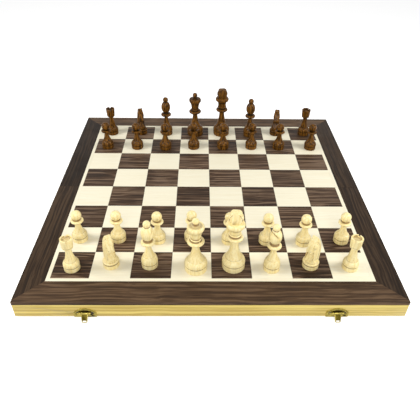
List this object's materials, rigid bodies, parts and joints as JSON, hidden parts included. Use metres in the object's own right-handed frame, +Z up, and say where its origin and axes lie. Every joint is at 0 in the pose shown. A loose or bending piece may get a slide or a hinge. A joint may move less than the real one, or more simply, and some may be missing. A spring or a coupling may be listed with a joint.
{
  "type": "folding chess box with men",
  "caption": "Folding chess box hinged along the middle of its playing face, opened flat, with swing latches on the front rail and turned men standing on it.",
  "frame": {"origin": "bottom centre of the part's box, on the surface that the open box lies on", "axes": "+X to the right along the seam and the hinge pins, +Y away from the white men, +Z up out of the playing face"},
  "size_m": [0.38, 0.3948, 0.0916],
  "materials": {
    "dark_veneer": "satin dark walnut veneer, grain along the strip or from left to right",
    "light_veneer": "satin pale maple veneer",
    "pine": "clear-lacquered pine with grain along the rail",
    "plywood": "plain plywood",
    "felt": "green felt",
    "antique_brass": "antique brass, darkened in the recesses",
    "light_men": "waxed pale boxwood",
    "dark_men": "gloss-lacquered dark brown hardwood"
  },
  "bodies": {
    "near_half": {"near_panel": "plywood", "near_dark_squares": "dark_veneer", "near_light_squares": "light_veneer", "near_inlay_line": "light_veneer", "near_border_veneer": "dark_veneer", "near_front_rail": "pine", "near_hinge_rail": "pine", "near_side_rails": "pine", "near_felt_lining": "felt", "near_latch_plates": "antique_brass", "near_hinge_leaves": "antique_brass", "near_fixings": "antique_brass", "hinge_pins": "antique_brass", "latch_pins": "antique_brass"},
    "far_half": {"far_panel": "plywood", "far_dark_squares": "dark_veneer", "far_light_squares": "light_veneer", "far_inlay_line": "light_veneer", "far_border_veneer": "dark_veneer", "far_back_rail": "pine", "far_hinge_rail": "pine", "far_side_rails": "pine", "far_felt_lining": "felt", "far_catch_plates": "antique_brass", "far_hinge_leaves": "antique_brass", "far_fixings": "antique_brass"},
    "left_latch": {"left_latch_tongue": "antique_brass"},
    "right_latch": {"right_latch_tongue": "antique_brass"},
    "white_rook_a": {"white_rook_a": "light_men"},
    "white_knight_b": {"white_knight_b": "light_men"},
    "white_bishop_c": {"white_bishop_c": "light_men"},
    "white_queen": {"white_queen": "light_men"},
    "white_king": {"white_king": "light_men"},
    "white_bishop_f": {"white_bishop_f": "light_men"},
    "white_knight_g": {"white_knight_g": "light_men"},
    "white_rook_h": {"white_rook_h": "light_men"},
    "white_pawn_a": {"white_pawn_a": "light_men"},
    "white_pawn_b": {"white_pawn_b": "light_men"},
    "white_pawn_c": {"white_pawn_c": "light_men"},
    "white_pawn_d": {"white_pawn_d": "light_men"},
    "white_pawn_e": {"white_pawn_e": "light_men"},
    "white_pawn_f": {"white_pawn_f": "light_men"},
    "white_pawn_g": {"white_pawn_g": "light_men"},
    "white_pawn_h": {"white_pawn_h": "light_men"},
    "black_rook_a": {"black_rook_a": "dark_men"},
    "black_knight_b": {"black_knight_b": "dark_men"},
    "black_bishop_c": {"black_bishop_c": "dark_men"},
    "black_queen": {"black_queen": "dark_men"},
    "black_king": {"black_king": "dark_men"},
    "black_bishop_f": {"black_bishop_f": "dark_men"},
    "black_knight_g": {"black_knight_g": "dark_men"},
    "black_rook_h": {"black_rook_h": "dark_men"},
    "black_pawn_a": {"black_pawn_a": "dark_men"},
    "black_pawn_b": {"black_pawn_b": "dark_men"},
    "black_pawn_c": {"black_pawn_c": "dark_men"},
    "black_pawn_d": {"black_pawn_d": "dark_men"},
    "black_pawn_e": {"black_pawn_e": "dark_men"},
    "black_pawn_f": {"black_pawn_f": "dark_men"},
    "black_pawn_g": {"black_pawn_g": "dark_men"},
    "black_pawn_h": {"black_pawn_h": "dark_men"}
  },
  "joints": [
    {"name": "board_fold", "type": "hinge", "parent": "near_half", "child": "far_half", "pos_m": [0, 0.00207, 0.0013], "axis": [-1, 0, 0], "range_deg": [0, 180]},
    {"name": "left_latch_swing", "type": "hinge", "parent": "near_half", "child": "left_latch", "pos_m": [-0.122, -0.19203, 0.00795], "axis": [-1, 0, 0], "range_deg": [-34.3, 115.7]},
    {"name": "right_latch_swing", "type": "hinge", "parent": "near_half", "child": "right_latch", "pos_m": [0.122, -0.19203, 0.00795], "axis": [-1, 0, 0], "range_deg": [-34.3, 115.7]},
    {"name": "lift_white_rook_a", "type": "slide", "parent": "near_half", "child": "white_rook_a", "axis": [0, 0, 1], "range_m": [0, 0.1]},
    {"name": "lift_white_knight_b", "type": "slide", "parent": "near_half", "child": "white_knight_b", "axis": [0, 0, 1], "range_m": [0, 0.1]},
    {"name": "lift_white_bishop_c", "type": "slide", "parent": "near_half", "child": "white_bishop_c", "axis": [0, 0, 1], "range_m": [0, 0.1]},
    {"name": "lift_white_queen", "type": "slide", "parent": "near_half", "child": "white_queen", "axis": [0, 0, 1], "range_m": [0, 0.1]},
    {"name": "lift_white_king", "type": "slide", "parent": "near_half", "child": "white_king", "axis": [0, 0, 1], "range_m": [0, 0.1]},
    {"name": "lift_white_bishop_f", "type": "slide", "parent": "near_half", "child": "white_bishop_f", "axis": [0, 0, 1], "range_m": [0, 0.1]},
    {"name": "lift_white_knight_g", "type": "slide", "parent": "near_half", "child": "white_knight_g", "axis": [0, 0, 1], "range_m": [0, 0.1]},
    {"name": "lift_white_rook_h", "type": "slide", "parent": "near_half", "child": "white_rook_h", "axis": [0, 0, 1], "range_m": [0, 0.1]},
    {"name": "lift_white_pawn_a", "type": "slide", "parent": "near_half", "child": "white_pawn_a", "axis": [0, 0, 1], "range_m": [0, 0.1]},
    {"name": "lift_white_pawn_b", "type": "slide", "parent": "near_half", "child": "white_pawn_b", "axis": [0, 0, 1], "range_m": [0, 0.1]},
    {"name": "lift_white_pawn_c", "type": "slide", "parent": "near_half", "child": "white_pawn_c", "axis": [0, 0, 1], "range_m": [0, 0.1]},
    {"name": "lift_white_pawn_d", "type": "slide", "parent": "near_half", "child": "white_pawn_d", "axis": [0, 0, 1], "range_m": [0, 0.1]},
    {"name": "lift_white_pawn_e", "type": "slide", "parent": "near_half", "child": "white_pawn_e", "axis": [0, 0, 1], "range_m": [0, 0.1]},
    {"name": "lift_white_pawn_f", "type": "slide", "parent": "near_half", "child": "white_pawn_f", "axis": [0, 0, 1], "range_m": [0, 0.1]},
    {"name": "lift_white_pawn_g", "type": "slide", "parent": "near_half", "child": "white_pawn_g", "axis": [0, 0, 1], "range_m": [0, 0.1]},
    {"name": "lift_white_pawn_h", "type": "slide", "parent": "near_half", "child": "white_pawn_h", "axis": [0, 0, 1], "range_m": [0, 0.1]},
    {"name": "lift_black_rook_a", "type": "slide", "parent": "far_half", "child": "black_rook_a", "axis": [0, 0, 1], "range_m": [0, 0.1]},
    {"name": "lift_black_knight_b", "type": "slide", "parent": "far_half", "child": "black_knight_b", "axis": [0, 0, 1], "range_m": [0, 0.1]},
    {"name": "lift_black_bishop_c", "type": "slide", "parent": "far_half", "child": "black_bishop_c", "axis": [0, 0, 1], "range_m": [0, 0.1]},
    {"name": "lift_black_queen", "type": "slide", "parent": "far_half", "child": "black_queen", "axis": [0, 0, 1], "range_m": [0, 0.1]},
    {"name": "lift_black_king", "type": "slide", "parent": "far_half", "child": "black_king", "axis": [0, 0, 1], "range_m": [0, 0.1]},
    {"name": "lift_black_bishop_f", "type": "slide", "parent": "far_half", "child": "black_bishop_f", "axis": [0, 0, 1], "range_m": [0, 0.1]},
    {"name": "lift_black_knight_g", "type": "slide", "parent": "far_half", "child": "black_knight_g", "axis": [0, 0, 1], "range_m": [0, 0.1]},
    {"name": "lift_black_rook_h", "type": "slide", "parent": "far_half", "child": "black_rook_h", "axis": [0, 0, 1], "range_m": [0, 0.1]},
    {"name": "lift_black_pawn_a", "type": "slide", "parent": "far_half", "child": "black_pawn_a", "axis": [0, 0, 1], "range_m": [0, 0.1]},
    {"name": "lift_black_pawn_b", "type": "slide", "parent": "far_half", "child": "black_pawn_b", "axis": [0, 0, 1], "range_m": [0, 0.1]},
    {"name": "lift_black_pawn_c", "type": "slide", "parent": "far_half", "child": "black_pawn_c", "axis": [0, 0, 1], "range_m": [0, 0.1]},
    {"name": "lift_black_pawn_d", "type": "slide", "parent": "far_half", "child": "black_pawn_d", "axis": [0, 0, 1], "range_m": [0, 0.1]},
    {"name": "lift_black_pawn_e", "type": "slide", "parent": "far_half", "child": "black_pawn_e", "axis": [0, 0, 1], "range_m": [0, 0.1]},
    {"name": "lift_black_pawn_f", "type": "slide", "parent": "far_half", "child": "black_pawn_f", "axis": [0, 0, 1], "range_m": [0, 0.1]},
    {"name": "lift_black_pawn_g", "type": "slide", "parent": "far_half", "child": "black_pawn_g", "axis": [0, 0, 1], "range_m": [0, 0.1]},
    {"name": "lift_black_pawn_h", "type": "slide", "parent": "far_half", "child": "black_pawn_h", "axis": [0, 0, 1], "range_m": [0, 0.1]}
  ]
}
